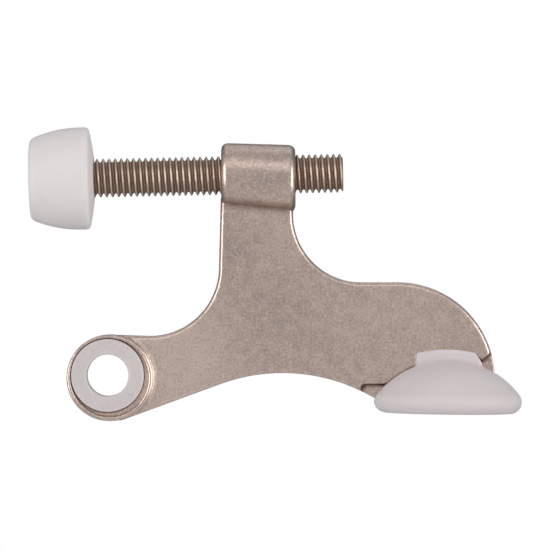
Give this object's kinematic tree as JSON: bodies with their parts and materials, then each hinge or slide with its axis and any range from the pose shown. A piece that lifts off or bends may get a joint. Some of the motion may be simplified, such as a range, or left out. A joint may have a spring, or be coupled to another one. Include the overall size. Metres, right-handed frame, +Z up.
{
  "type": "hinge-pin door stop",
  "caption": "Adjustable hinge-pin door stop: cast plate with a bushed eye, a threaded rod with a white tip and a round white foot.",
  "frame": {"origin": "on the hinge pin's axis, halfway through the eye's thickness", "axes": "+X from the eye towards the foot, +Y along the hinge pin's axis from front to back, +Z up the neck to the barrel. On a door the pin is vertical, so the part is turned a quarter turn about X there."},
  "size_m": [0.1015, 0.0304, 0.0605],
  "materials": {
    "satin_nickel_casting": "satin nickel over a cast surface with a fine grain",
    "plated_steel": "satin nickel plated thread",
    "white_tip": "matt white",
    "white_foot": "matt white",
    "white_bush": "matt white"
  },
  "bodies": {
    "casting": {"cast_body": "satin_nickel_casting", "foot_bumper": "white_foot"},
    "tip": {"rod_bumper": "white_tip"},
    "rod": {"adjusting_rod": "plated_steel"},
    "bushes": {"front_bush": "white_bush", "rear_bush": "white_bush"}
  },
  "joints": [
    {"name": "rod_travel", "type": "slide", "parent": "casting", "child": "tip", "axis": [0.9998, 0, 0.0204], "range_m": [-0.015, 0.025]},
    {"name": "rod_turn", "type": "hinge", "parent": "tip", "child": "rod", "pos_m": [0.031, 0, 0.0413], "axis": [0.9998, 0, 0.0204], "range_deg": [-4350, 7230]},
    {"name": "pin_swing", "type": "hinge", "parent": "casting", "child": "bushes", "pos_m": [0, 0, 0], "axis": [0, 1, 0], "continuous": true}
  ],
  "couplings": [
    {"joint": "rod_turn", "follows": "rod_travel", "rad_per_m": 5026.5}
  ]
}
